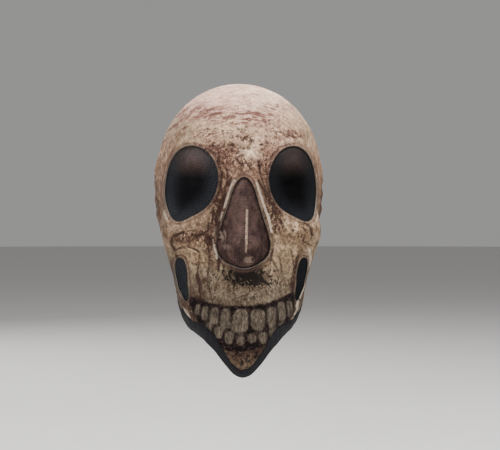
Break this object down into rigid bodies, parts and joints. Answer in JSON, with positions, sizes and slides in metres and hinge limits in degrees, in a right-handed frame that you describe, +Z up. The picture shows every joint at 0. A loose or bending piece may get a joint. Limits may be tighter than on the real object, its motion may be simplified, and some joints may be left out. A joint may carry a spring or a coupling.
{
  "type": "skull print hood mask",
  "caption": "Pull-on stretch-fabric full-face hood with a printed skull, dark see-through net over the eyes, nose and cheek gaps, and a black elastic neck band",
  "frame": {"origin": "the middle of the head cavity, level with the eyes and between the ears", "axes": "+Z up to the crown, the face looks along -Y, +X is the wearer's left"},
  "size_m": [0.161, 0.2165, 0.2711],
  "materials": {
    "printed_face": "printed stretch knit, matt",
    "printed_back": "printed stretch knit, matt",
    "eye_net": "dark see-through net",
    "nose_net": "brown see-through net",
    "black_band": "black stretch knit, matt",
    "bone_thread": "sewing thread",
    "black_thread": "sewing thread",
    "elastic": "woven elastic",
    "label": "plain woven tape"
  },
  "bodies": {
    "root": {"face_panel": "printed_face", "back_panel_left": "printed_back", "back_panel_right": "printed_back", "eye_net_left": "eye_net", "eye_net_right": "eye_net", "nose_net": "nose_net", "cheek_net_left": "eye_net", "cheek_net_right": "eye_net", "eye_stitching_left": "bone_thread", "eye_stitching_right": "bone_thread", "nose_stitching": "bone_thread", "cheek_stitching_left": "bone_thread", "cheek_stitching_right": "bone_thread", "neck_band": "black_band", "turned_hem": "black_band", "hem_elastic": "elastic", "hem_coverstitch": "black_thread", "crown_seam_overlock": "bone_thread", "centre_back_overlock": "bone_thread", "band_seam_overlock": "black_thread", "care_label": "label"}
  },
  "joints": []
}
